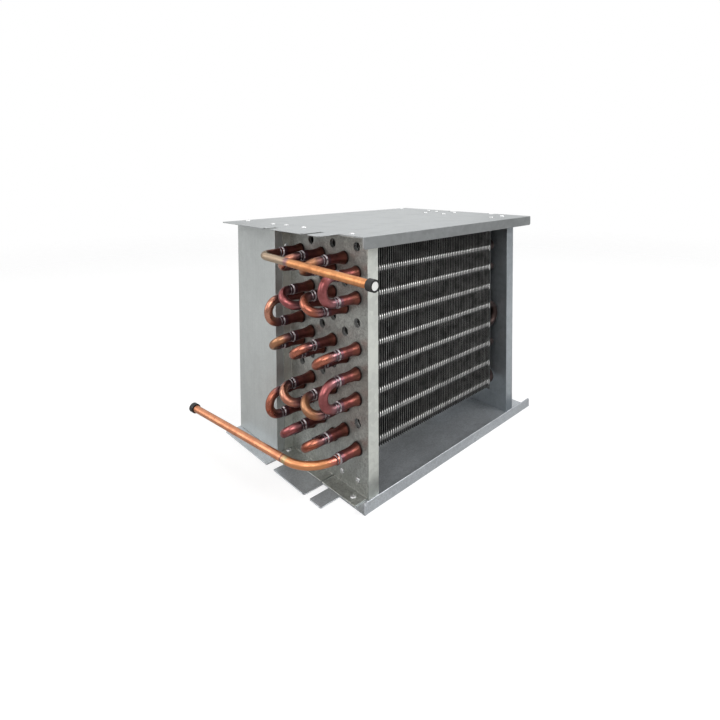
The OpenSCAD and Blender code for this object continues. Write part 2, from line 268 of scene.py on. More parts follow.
class Effects:
    """The shared effects: zinc spangle, handling marks, bands for heat stain and painted shade, and copper mottling."""

    def __init__(self) -> None:
        """Builds each group once."""
        self.spangle = self._spangle()
        self.marks = self._marks()
        self.stain = self._stain()
        self.mottle = self._mottle()

    @staticmethod
    def _spangle() -> NodeTree:
        """Returns the group for zinc crystals, clouds of tone and fine grit."""
        group = EffectGroup("Zinc Spangle", {"Cells": 130.0, "Clouds": 18.0}, ("Tone", "Height", "Grit"))
        b = group.build
        where = b.place()
        moved = b.vector("ADD", where, b.math("MULTIPLY", b.noise(where, 90.0, 2.0), 0.006))
        cells = b.add("ShaderNodeTexVoronoi", {"Vector": moved, "Scale": group.given["Cells"]})
        crystal = b.add("ShaderNodeSeparateColor", {"Color": cells.outputs["Color"]}).outputs[0]
        clouds = b.noise(where, group.given["Clouds"], 4.0, 0.6)
        group.put("Tone", b.total(0.0, (crystal, 0.25), (clouds, 0.75)))
        group.put("Height", crystal)
        group.put("Grit", b.noise(where, 620.0, 3.0, 0.7))
        return group.tree

    @staticmethod
    def _marks() -> NodeTree:
        """Returns the group for fine scratches along the rolling direction, and smudges."""
        inputs = {"X": 14.0, "Y": 1500.0, "Z": 1500.0}
        group = EffectGroup("Handling Marks", inputs, ("Scratch", "Streak", "Smudge"))
        b = group.build
        coords = b.place()
        stretch = b.add("ShaderNodeCombineXYZ", {axis: group.given[axis] for axis in "XYZ"})
        streak = b.noise(b.vector("MULTIPLY", coords, stretch.outputs[0]), 1.0, 2.0)
        handled = b.ramp(b.noise(coords, 55.0, 2.0), 0.45, 0.6)
        group.put("Scratch", b.math("MULTIPLY", b.ramp(streak, 0.6, 0.72), handled))
        group.put("Streak", streak)
        group.put("Smudge", b.ramp(b.noise(coords, 34.0, 5.0, 0.62), 0.45, 0.68))
        return group.tree

    @staticmethod
    def _stain() -> NodeTree:
        """Returns the group for a band at a place along a direction, used for the heat stain that brazing leaves and
        for painted shade.
        """
        inputs = {"X": 1.0, "Y": 0.0, "Joint": -0.15, "Reach": 0.012, "Wander": 0.006}
        group = EffectGroup("Heat Stain And Painted Shade", inputs, ("Stain", "Edge"))
        b = group.build
        where = b.place()
        aim = b.add("ShaderNodeCombineXYZ", {axis: group.given[axis] for axis in "XY"}).outputs[0]
        wander = b.math("MULTIPLY", b.math("SUBTRACT", b.noise(where, 120.0, 3.0), 0.5), group.given["Wander"])
        gone = b.math("ADD", b.math("SUBTRACT", group.given["Joint"], b.dot(where, aim)), wander)
        share = b.math("DIVIDE", gone, group.given["Reach"])
        group.put("Stain", b.ramp(share, 1.0, 0.35))
        group.put("Edge", b.math("MULTIPLY", b.ramp(share, 0.35, 0.75), b.ramp(share, 1.35, 0.85)))
        return group.tree

    @staticmethod
    def _mottle() -> NodeTree:
        """Returns the group for the blotches and small dents of handled copper."""
        group = EffectGroup("Copper Mottle", {"Blotch": 95.0}, ("Blotch", "Fine", "Dent"))
        b = group.build
        where = b.place()
        group.put("Blotch", b.noise(where, group.given["Blotch"], 4.0, 0.6))
        group.put("Fine", b.noise(where, 420.0, 4.0, 0.65))
        group.put("Dent", b.ramp(b.noise(where, 210.0, 1.0), 0.3, 0.42))
        return group.tree


# Finishes


@dataclass(frozen=True)
class Finish:
    """What every finish has: a material name, colour, roughness and metal share."""

    name: str
    colour: Colour
    rough: float = 0.4
    metal: float = 1.0

    def start(self) -> Surface:
        """Makes the material with its plain values."""
        return Surface(self.name, self.colour, self.rough, self.metal)

    def shade(self, share: float) -> Colour:
        """Returns the finish's colour made darker or paler by a share."""
        return tuple(min(1.0, c * share) for c in self.colour)


@dataclass(frozen=True)
class Galvanised(Finish):
    """Zinc-coated sheet: a faint spangle, clouds, rolling streaks, grit and smudges.

    Its deep areas keep the share deep of the colour. The share front paints light and shade on faces that
    look along -Y: above 1 they are made paler, below 1 darker, and 1 leaves them as the others.
    """

    deep: float = 0.8
    cells: float = 130.0
    rolled: tuple[float, float, float] = (14.0, 1500.0, 1500.0)
    grit: float = 0.1
    streak: float = 0.15
    front: float = 1.0

    def make(self, effects: Effects) -> Material:
        """Returns the material."""
        b = self.start()
        zinc = b.group(effects.spangle, Cells=self.cells, Clouds=22.0)
        x, y, z = self.rolled
        marks = b.group(effects.marks, X=x, Y=y, Z=z)
        base = b.mix(b.ramp(zinc["Tone"], 0.3, 0.7), self.shade(self.deep), self.colour)
        base = b.wash(base, b.ramp(marks["Streak"], 0.35, 0.65), self.streak, self.shade(0.55))
        base = b.wash(base, b.ramp(zinc["Grit"], 0.4, 0.62), self.grit, self.shade(0.35))
        base = b.wash(base, marks["Scratch"], 0.3, self.shade(1.25))
        base = b.wash(base, marks["Smudge"], 0.25, self.shade(0.75))
        # Painted light and shade: faces that look along -Y get the colour times front.
        if self.front != 1.0:
            facing = b.add("ShaderNodeSeparateXYZ", {"Vector": b.normal()}).outputs["Y"]
            painted_front_shading = b.mix(b.ramp(zinc["Tone"], 0.3, 0.7), self.shade(self.front * 0.85), self.shade(self.front))
            base = b.mix(b.ramp(facing, -0.5, -0.9), base, painted_front_shading)
        b.wire(base, b.total(self.rough - 0.08, (zinc["Tone"], 0.14), (marks["Smudge"], 0.08)))
        height = b.total(0.0, (zinc["Height"], 0.4), (marks["Scratch"], -0.4), (zinc["Grit"], 0.3))
        b.bump(height, 0.05 * MM, 0.5)
        return b.material


@dataclass(frozen=True)
class StainAndShadeBand:
    """A heat stain or a band of painted shade on copper, from a joint outwards or at one place along a direction."""

    colour: Colour
    joint: float
    reach: float
    share: float = 0.85
    aim: tuple[float, float] = (1.0, 0.0)
    outlet: str = "Stain"


@dataclass(frozen=True)
class Copper(Finish):
    """Copper tube with heat stains, oxide blotches, draw lines and small dents, and bands of painted shade where a
    finish lists them.
    """

    oxide: Colour = (0.30, 0.13, 0.09)
    oxide_share: float = 0.5
    bands: tuple[StainAndShadeBand, ...] = ()
    blotch: float = 95.0

    def make(self, effects: Effects) -> Material:
        """Returns the material."""
        b = self.start()
        marks = b.group(effects.marks, X=900.0, Y=30.0, Z=900.0)
        mottle = b.group(effects.mottle, Blotch=self.blotch)
        patch = b.math("MULTIPLY", b.ramp(mottle["Blotch"], 0.4, 0.64), self.oxide_share)
        base = b.mix(patch, self.colour, self.oxide)
        base = b.wash(base, b.ramp(mottle["Fine"], 0.5, 0.7), 0.35, self.shade(0.45))
        base = b.wash(base, marks["Streak"], 0.3, self.shade(0.7))
        # Each band lays a heat stain; a band whose colour stands for shadow lays painted shade.
        for band in self.bands:
            x, y = band.aim
            wander = band.reach * 0.5
            heat = b.group(effects.stain, X=x, Y=y, Joint=band.joint, Reach=band.reach, Wander=wander)
            base = b.wash(base, heat[band.outlet], band.share, band.colour)
        b.wire(base, b.total(self.rough - 0.1, (mottle["Fine"], 0.22), (patch, 0.2)))
        b.bump(b.total(0.0, (mottle["Fine"], 0.6), (mottle["Dent"], 0.8)), 0.15 * MM, 0.6)
        return b.material


@dataclass(frozen=True)
class FinStock(Finish):
    """Thin aluminium strip, painted near black for the shade between the fins and darker in noise patches of dirt, with
    paler thin edges.
    """

    dust_and_shade: Colour = (0.02, 0.02, 0.02)
    edge: Colour = (0.62, 0.62, 0.60)

    def make(self, effects: Effects) -> Material:
        """Returns the material."""
        b = self.start()
        marks = b.group(effects.marks, X=900.0, Y=40.0, Z=40.0)
        dirt = b.noise(b.place(), 85.0, 5.0, 0.6)
        # The colour is painted shade; the noise darkens it further in patches of dirt.
        base = b.wash(self.colour, b.ramp(dirt, 0.4, 0.7), 0.6, self.dust_and_shade)
        # The thin edges get the paler edge colour over the painted shade of the faces.
        facing = b.add("ShaderNodeSeparateXYZ", {"Vector": b.normal()}).outputs["X"]
        thin_edges = b.ramp(b.math("ABSOLUTE", facing), 0.5, 0.1)
        base = b.wash(base, thin_edges, b.ramp(dirt, 0.7, 0.35, 0.35, 1.0), self.edge)
        b.wire(base, b.total(self.rough - 0.06, (marks["Smudge"], 0.16)))
        b.bump(dirt, 0.1 * MM, 0.4)
        return b.material


@dataclass(frozen=True)
class CollarStock(Finish):
    """Fin collars, painted dark for shade, with two painted highlight lines where they face forward and up by these
    angles above -Y.
    """

    # Painted shade: the collars' colour away from the highlight lines.
    dust_and_shade: Colour = (0.03, 0.03, 0.03)
    # The angles of the two painted highlight lines above -Y, and the second line's share.
    crown: float = 42.0
    second: float = 2.0
    second_share: float = 0.5

    @staticmethod
    def line(b: NodeBuilder, normal: Socket, angle: float, low: float) -> Socket:
        """Returns a mask of the surface that faces forward and up by an angle in degrees."""
        a = math.radians(angle)
        return b.ramp(b.dot(normal, (0.0, -math.cos(a), math.sin(a))), low, 0.99)

    def make(self, effects: Effects) -> Material:
        """Returns the material."""
        b = self.start()
        marks = b.group(effects.marks, X=900.0, Y=40.0, Z=40.0)
        normal = b.normal()
        # Painted highlights: two lines picked out by the surface's direction over the painted shade; smudges dim them.
        crown = self.line(b, normal, self.crown, 0.76)
        second = b.math("MULTIPLY", self.line(b, normal, self.second, 0.93), self.second_share)
        painted_highlights = b.math("MAXIMUM", crown, second)
        base = b.wash(self.dust_and_shade, painted_highlights, b.ramp(marks["Smudge"], 1.0, 0.0, 0.6, 1.0), self.colour)
        b.wire(base, b.total(self.rough, (marks["Smudge"], 0.1)))
        return b.material


@dataclass(frozen=True)
class Braze(Finish):
    """Dull silver braze metal, pitted, with grey flux left in its hollows."""

    flux: Colour = (0.10, 0.09, 0.10)

    def make(self, effects: Effects) -> Material:
        """Returns the material."""
        b = self.start()
        where = b.place()
        pits = b.noise(where, 900.0, 3.0, 0.6)
        flow = b.noise(where, 320.0, 3.0)
        base = b.mix(b.ramp(flow, 0.42, 0.62), self.colour, self.flux)
        b.wire(base, b.ramp(flow, 0.3, 0.7, self.rough, self.rough + 0.25))
        b.bump(b.math("ADD", pits, flow), 0.25 * MM, 0.6)
        return b.material


@dataclass(frozen=True)
class Moulded(Finish):
    """Soft plastic with a fine mould grain and a little wear."""

    worn: Colour = (0.05, 0.05, 0.05)

    def make(self, effects: Effects) -> Material:
        """Returns the material."""
        b = self.start()
        marks = b.group(effects.marks, X=60.0, Y=600.0, Z=600.0)
        grain = b.noise(b.place(), 2600.0, 2.0)
        base = b.wash(self.colour, marks["Smudge"], 0.6, self.worn)
        b.wire(base, b.total(self.rough, (marks["Smudge"], 0.14)))
        b.bump(grain, 0.04 * MM, 0.4)
        return b.material


class Palette:
    """Every finish of the coil, made once."""

    def __init__(self, effects: Effects) -> None:
        """Args:
        effects: The shared shader groups.
        """
        upright = (1500.0, 1500.0, 16.0)
        # Painted shade: the cover's front lip is made darker by front=0.62.
        self.cover = Galvanised(
            "galvanised_cover", (0.44, 0.46, 0.465), 0.44, 0.6, 0.93, 210.0, front=0.62).make(effects)
        self.base = Galvanised("galvanised_base", (0.58, 0.61, 0.64), 0.38, 0.65, 0.85, 210.0, grit=0.3).make(effects)
        self.rear = Galvanised("galvanised_rear", (0.64, 0.67, 0.66), 0.34, 0.7, 0.94, 230.0, upright).make(effects)
        # Painted light: the tube sheet's front flange is made paler by front=1.4.
        self.sheet = Galvanised(
            "galvanised_tube_sheet", (0.52, 0.535, 0.50), 0.36, 0.65, 0.62, 240.0, upright, 0.6, 0.4, 1.4,
        ).make(effects)
        self.panel = Galvanised(
            "galvanised_end_panel", (0.46, 0.50, 0.53), 0.34, 0.8, 0.85, 240.0, upright).make(effects)
        # Painted shade: the right tube sheet is made near black where it lies in shadow.
        self.coil_end_painted_shade = Galvanised(
            "galvanised_coil_end", (0.12, 0.125, 0.125), 0.4, 0.8, 0.8, 240.0, upright).make(effects)
        # Painted highlight: the rims in the holes and at the far tube ends are a paler copy of the zinc, to show
        # glints.
        self.rim_painted_highlight = Galvanised("rim_painted_highlight", (0.75, 0.76, 0.75), 0.3, 0.7, 0.6, 700.0, grit=0.3).make(effects)
        self.rivet = Galvanised("rivet_steel", (0.80, 0.81, 0.81), 0.3, 0.7, 0.7, 700.0).make(effects)
        # Painted shade: the fins are made near black for the shade between them.
        self.fins = FinStock("fin_stock", (0.075, 0.075, 0.073), 0.4, 0.8).make(effects)
        # Painted shade: the inner collars are made near black too.
        self.inner = FinStock(
            "inner_collar_stock", (0.05, 0.05, 0.05), 0.36, 0.8, edge=(0.45, 0.45, 0.43)).make(effects)
        # The collars' pale colour shows only in their two painted highlight lines.
        self.collars = CollarStock("fin_collar_stock", (0.95, 0.95, 0.93), 0.36, 0.35).make(effects)
        self.braze = Braze("braze_metal", (0.40, 0.36, 0.37), 0.34, 0.9).make(effects)
        self.cap = Moulded("cap_plastic", (0.004, 0.004, 0.004), 0.5, 0.0, (0.012, 0.012, 0.012)).make(effects)
        self.plug = Moulded("plug_plastic", (0.82, 0.82, 0.80), 0.35, 0.0, (0.62, 0.61, 0.58)).make(effects)
        # The stub's last two bands are painted shade: the third turns the tube near black from where its bell meets the
        # tube sheet onwards, and the fourth darkens the hairpin ends past x = 0.09 m.
        self.stub = Copper("heat_dark_copper_with_painted_shade", (0.21, 0.06, 0.052), 0.34, 0.85, (0.07, 0.024, 0.022), 0.65, (
            StainAndShadeBand((0.22, 0.09, 0.04), -0.129, 0.008, 0.25),
            StainAndShadeBand((0.10, 0.05, 0.07), -0.143, 0.006, 0.7, outlet="Edge"),
            StainAndShadeBand((0.03, 0.016, 0.016), -0.1258, 0.0022, 0.9),
            StainAndShadeBand((0.035, 0.022, 0.02), 0.09, 0.01, 1.0))).make(effects)
        near = (
            StainAndShadeBand((0.26, 0.13, 0.14), -0.1535, 0.012, 0.8),
            StainAndShadeBand((0.10, 0.06, 0.075), -0.1515, 0.007, 0.8),
        )
        bends = {
            Tone.ORANGE: ((0.44, 0.16, 0.105), 0.26, (0.27, 0.085, 0.05), 0.7),
            Tone.ROSE: ((0.36, 0.12, 0.12), 0.3, (0.21, 0.065, 0.065), 0.7),
            Tone.PEACH: ((0.52, 0.25, 0.17), 0.25, (0.33, 0.12, 0.08), 0.65),
            Tone.TAN: ((0.43, 0.22, 0.12), 0.34, (0.27, 0.11, 0.06), 0.65),
        }
        self.bends = {
            tone: Copper(tone.value, colour, rough, 1.0, oxide, share, near).make(effects)
            for tone, (colour, rough, oxide, share) in bends.items()
        }
        back, ahead = (0.0, 1.0), (0.0, -1.0)
        self.upper_line = Copper("upper_line_copper", (0.68, 0.31, 0.13), 0.36, 1.0, (0.42, 0.16, 0.07), 0.7, (
            StainAndShadeBand((0.42, 0.33, 0.24), -0.0364, 0.012, 0.95, back),
            StainAndShadeBand((0.24, 0.14, 0.17), -0.0364, 0.012, 0.85, back, "Edge"),
            StainAndShadeBand((0.22, 0.08, 0.065), -0.1625, 0.012, 0.95))).make(effects)
        self.lower_line = Copper("lower_line_copper", (0.70, 0.31, 0.17), 0.32, 1.0, (0.46, 0.17, 0.09), 0.5, (
            StainAndShadeBand((0.62, 0.27, 0.12), 0.062, 0.010, 0.8, ahead),
            StainAndShadeBand((0.44, 0.36, 0.20), 0.062, 0.010, 0.9, ahead, "Edge"),
            StainAndShadeBand((0.16, 0.08, 0.08), 0.0516, 0.003, 0.85, ahead, "Edge"),
            StainAndShadeBand((0.50, 0.16, 0.13), -0.153, 0.014, 0.9))).make(effects)


# Mesh helpers


def finish(name: str, shape: Shape, material: Material, smooth_angle: float) -> Piece:
    """Makes an object from points and faces.

    Args:
        name: The piece's name.
        shape: Its points, in the shared frame, and its faces.
        material: Its material.
        smooth_angle: Edges sharper than this many degrees stay sharp.

    Returns:
        The new object.
    """
    mesh = bpy.data.meshes.new(name)
    verts, faces = shape
    mesh.from_pydata([tuple(v) for v in verts], [], faces)
    mesh.validate()
    return adopt(name, mesh, material, smooth_angle)


def adopt(name: str, mesh: Mesh, material: Material, smooth_angle: float) -> Piece:
    """Makes an object from a mesh, shades it and lets it ride on the coil."""
    coat(mesh, material)
    mesh.shade_smooth()
    mesh.set_sharp_from_angle(angle=math.radians(smooth_angle))
    piece = bpy.data.objects.new(name, mesh)
    show(piece)
    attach(piece, BODY)
    return piece


def sweep(path: list[Vector], radii: list[float], segments: int = 28) -> Shape:
    """Sweeps a circle of changing radius along a path, and closes both ends.

    Args:
        path: Points of the centre line.
        radii: The radius at each point.
        segments: Points round the tube.

    Returns:
        Points and faces.
    """
    verts: list[Vector] = []
    side = None
    for i, point in enumerate(path):
        ahead = path[min(i + 1, len(path) - 1)] - path[max(i - 1, 0)]
        ahead.normalize()
        if side is None:
            side = ahead.orthogonal().normalized()
        side = (side - ahead * side.dot(ahead)).normalized()
        up = ahead.cross(side)
        for k in range(segments):
            a = 2 * math.pi * k / segments
            verts.append(point + (side * math.cos(a) + up * math.sin(a)) * radii[i])
    faces = [(a, d, c, b) for a, b, c, d in bands(len(path), segments)]
    last = (len(path) - 1) * segments
    faces.append(tuple(range(segments - 1, -1, -1)))
    faces.append(tuple(range(last, last + segments)))
    return verts, faces


def lathe(profile: Profile, segments: int, to_world: Matrix) -> Shape:
    """Turns a profile of (along, radius) points about local X.

    Args:
        profile: The profile, from one end to the other. A radius of 0 closes an end.
        segments: Points round the axis.
        to_world: Places the lathe's axis in the shared frame.

    Returns:
        Points and faces.
    """
    verts: list[Vector] = []
    for along, radius in profile:
        for k in range(segments):
            a = 2 * math.pi * k / segments
            verts.append(to_world @ Vector((along, radius * math.cos(a), radius * math.sin(a))))
    return verts, bands(len(profile), segments)


def bands(rings: int, segments: int) -> list[tuple[int, ...]]:
    """Returns the faces between rings of points that follow each other."""
    faces = []
    for i in range(rings - 1):
        for k in range(segments):
            n = (k + 1) % segments
            faces.append((i * segments + k, (i + 1) * segments + k, (i + 1) * segments + n, i * segments + n))
    return faces


def join(parts: list[Shape]) -> Shape:
    """Joins several sets of points and faces into one."""
    verts: list[Vector] = []
    faces: list[tuple[int, ...]] = []
    for some_verts, some_faces in parts:
        base = len(verts)
        verts.extend(some_verts)
        faces.extend(tuple(base + i for i in face) for face in some_faces)
    return verts, faces


def weld(mesh: Mesh) -> BMesh:
    """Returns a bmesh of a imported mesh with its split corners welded."""
    bm = bmesh.new()
    bm.from_mesh(mesh)
    bmesh.ops.remove_doubles(bm, verts=bm.verts, dist=SAME_POINT)
    return bm


def span(points: list[Vector]) -> tuple[Vector, Vector]:
    """Returns the lowest and the highest corner of the points' box."""
    low = Vector([min(p[i] for p in points) for i in range(3)])
    high = Vector([max(p[i] for p in points) for i in range(3)])
    return low, high


def islands(points: list[Vector], reach: float) -> list[Vector]:
    """Groups points that lie within a reach of a group's first point.

    Args:
        points: The points.
        reach: The largest distance from a group's first point.

    Returns:
        The middle of each group's box.
    """
    groups: list[list[Vector]] = []
    for p in points:
        for group in groups:
            if (group[0] - p).length < reach:
                group.append(p)
                break
        else:
            groups.append([p])
    middles = []
    for group in groups:
        low, high = span(group)
        middles.append((low + high) / 2)
    return middles


def leg_ends(node: Piece, side: Side) -> list[Vector]:
    """Finds where the two legs of a bend or a hairpin end.

    Args:
        node: The CAD node of the bend.
        side: The side on which its legs end.

    Returns:
        The middle of each leg's end, from the lowest to the highest.
    """
    xs = [v.co.x * side.value for v in node.data.vertices]
    end = max(xs)
    rim = [v.co.copy() for v in node.data.vertices if v.co.x * side.value > end - 0.05 * MM]
    return sorted(islands(rim, LEG_REACH), key=lambda p: (p.z, p.y))


# Sheet metal


@dataclass
class Housing:
    """The folded sheet-metal parts. Each keeps its CAD shape and gets rounded folds.

    An edge is a fold where it is at least as long as shortest_fold, both its faces are deeper
    than face_depth and they meet at sharp_angle or more.
    """

    palette: Palette
    fold_radius: float = 0.9 * MM
    inner_radius: float = 0.35 * MM
    shortest_fold: float = 6 * MM
    face_depth: float = 2.0 * MM
    sharp_angle: float = math.radians(60)
    corner_radius: float = 2.5 * MM
    pans: tuple[str, ...] = ("base_pan", "top_cover")

    def fold(self, name: str, node: Piece, material: Material) -> Piece:
        """Copies a node and rounds the edges where the sheet was folded.

        Args:
            name: The node's name.
            node: The CAD node.
            material: The sheet's material.

        Returns:
            The piece that replaces the node.
        """
        bm = weld(node.data)
        bmesh.ops.dissolve_limit(bm, angle_limit=math.radians(0.5), verts=bm.verts, edges=bm.edges)
        if name in self.pans:
            self.round_corners(bm)
        bmesh.ops.triangulate(bm, faces=[f for f in bm.faces if len(f.verts) > 4])
        outer, inner = [], []
        for edge in bm.edges:
            if not self.is_sharp(edge) or edge.calc_length() < self.shortest_fold:
                continue
            depths = [2 * f.calc_area() / edge.calc_length() for f in edge.link_faces]
            if min(depths) > self.face_depth:
                (outer if edge.is_convex else inner).append(edge)
        for edges, radius in ((inner, self.inner_radius), (outer, self.fold_radius)):
            self.bevel(bm, [e for e in edges if e.is_valid], radius, 3, True)
        mesh = bpy.data.meshes.new(name + "_folded")
        bm.to_mesh(mesh)
        bm.free()
        piece = adopt(name + "_folded", mesh, material, 30.0)
        even = piece.modifiers.new("even_shading", "WEIGHTED_NORMAL")
        even.keep_sharp = True
        even.weight = 100
        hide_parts(name)
        LOG.info("%s: %d outer folds, %d inner folds", piece.name, len(outer), len(inner))
        return piece

    def is_sharp(self, edge: BMEdge) -> bool:
        """Tells whether just two faces meet at an edge, and meet sharply."""
        return len(edge.link_faces) == 2 and edge.calc_face_angle(0.0) >= self.sharp_angle

    @staticmethod
    def bevel(bm: BMesh, edges: list[BMEdge], radius: float, steps: int, clamp: bool) -> None:
        """Rounds edges to a radius, in some steps."""
        if edges:
            bmesh.ops.bevel(
                bm, geom=edges, offset=radius, segments=steps, affect="EDGES", profile=0.5, clamp_overlap=clamp)

    def round_corners(self, bm: BMesh) -> None:
        """Rounds the corners of a pan's outline, which are upright edges as long as the sheet is thick."""
        found = []
        for edge in bm.edges:
            run = edge.verts[1].co - edge.verts[0].co
            upright = abs(abs(run.z) - run.length) < SAME_POINT and 0.5 * MM < run.length < self.face_depth
            if upright and self.is_sharp(edge) and edge.is_convex:
                found.append(edge)
        self.bevel(bm, found, self.corner_radius, 4, False)
        LOG.info("%d outline corners rounded", len(found))

    def build(self, nodes: Nodes) -> None:
        """Dresses every sheet-metal node."""
        p = self.palette
        finishes = {
            "base_pan": p.base, "top_cover": p.cover, "left_rear_panel": p.rear, "right_rear_panel": p.rear,
            "left_tube_sheet": p.sheet, "right_tube_sheet": p.coil_end_painted_shade, "right_end_panel": p.panel,
        }
        for name, material in finishes.items():
            self.fold(name, nodes[name], material)


@dataclass
class Rivets:
    """Blind rivets: a domed flange with the broken stem in its middle."""

    palette: Palette
    head_radius: float = 3.2 * MM
    head_height: float = 1.6 * MM
    stem_radius: float = 0.9 * MM
    segments: int = 20
    rim_share: float = 0.95

    def profile(self) -> Profile:
        """Returns the head's profile, from its seat out to its stem."""
        r, h, s = self.head_radius, self.head_height, self.stem_radius
        dome = [(h * 0.2, r)]
        dome += [(h * (0.2 + 0.72 * math.sin(a)), s + (r - s) * math.cos(a)) for a in (0.5, 0.85, 1.2, 1.45)]
        stem = [(h * 0.9, s * 1.15), (h * 0.6, s * 1.1), (h * 0.6, s), (h * 1.0, s * 0.9), (h * 1.0, 0.0)]
        return [(0.0, r * 0.97), *dome, *stem]

    def build(self, nodes: Nodes) -> None:
        """Makes one object of all the rivets, each where its CAD solid is."""
        bm = weld(nodes["rivets"].data)
        bm.verts.ensure_lookup_table()
        seen: set[int] = set()
        parts = []
        for start in bm.verts:
            if start.index in seen:
                continue
            stack, shell = [start], []
            seen.add(start.index)
            while stack:
                v = stack.pop()
                shell.append(v.co.copy())
                near = [w for w in (e.other_vert(v) for e in v.link_edges) if w.index not in seen]
                seen.update(w.index for w in near)
                stack += near
            parts.append(self.one(shell))
        bm.free()
        piece = finish("blind_rivets", join(parts), self.palette.rivet, 50.0)
        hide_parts("rivets")
        LOG.info("%s: %d rivets", piece.name, len(parts))

    def one(self, shell: list[Vector]) -> Shape:
        """Makes one rivet from the points of its CAD solid.

        Args:
            shell: The solid's points.

        Returns:
            Points and faces.
        """
        low, high = span(shell)
        size = high - low
        axis = min(range(3), key=lambda i: size[i])
        middle = (low + high) / 2
        wide = [p for p in shell if self.radius(p - middle, axis) > self.head_radius * self.rim_share]
        seat = sum(p[axis] for p in wide) / len(wide)
        above, below = (abs(gap - self.head_height) for gap in (high[axis] - seat, seat - low[axis]))
        out = 1.0 if above < below else -1.0
        origin = middle.copy()
        origin[axis] = seat
        aim = Vector([out if i == axis else 0.0 for i in range(3)])
        turn = Vector((1, 0, 0)).rotation_difference(aim).to_matrix().to_4x4()
        return lathe(self.profile(), self.segments, Matrix.Translation(origin) @ turn)

    @staticmethod
    def radius(offset: Vector, axis: int) -> float:
        """Returns the distance of an offset from an axis."""
        return math.hypot(*[offset[i] for i in range(3) if i != axis])


# Copper


